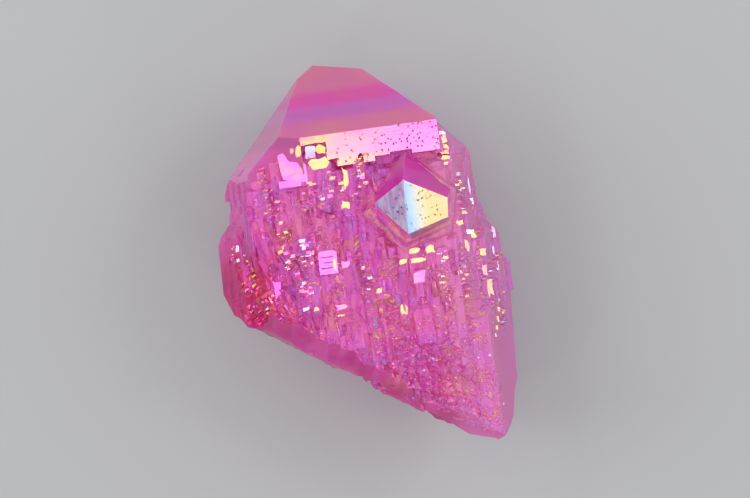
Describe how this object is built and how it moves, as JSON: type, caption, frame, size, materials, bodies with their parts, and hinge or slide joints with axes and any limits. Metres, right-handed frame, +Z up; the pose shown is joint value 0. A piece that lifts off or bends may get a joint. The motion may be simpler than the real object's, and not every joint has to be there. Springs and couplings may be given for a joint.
{
  "type": "aura quartz specimen",
  "caption": "Single quartz crystal with a pink rainbow coating, lying on its back face: chipped tip, ribbed front, a small crystal standing out of it and an oblique break at the foot.",
  "frame": {"origin": "centre of the bounding box in plan, at the height of the back prism face it lies on", "axes": "+Z up, out of the ribbed front face; +Y towards the tip, 8 degrees off the crystal's main axis; +X to the right as the front is looked at with the tip up"},
  "size_m": [0.0453, 0.0557, 0.0306],
  "materials": {
    "aura_quartz": "gloss"
  },
  "bodies": {
    "root": {"quartz_crystal": "aura_quartz"}
  },
  "joints": []
}
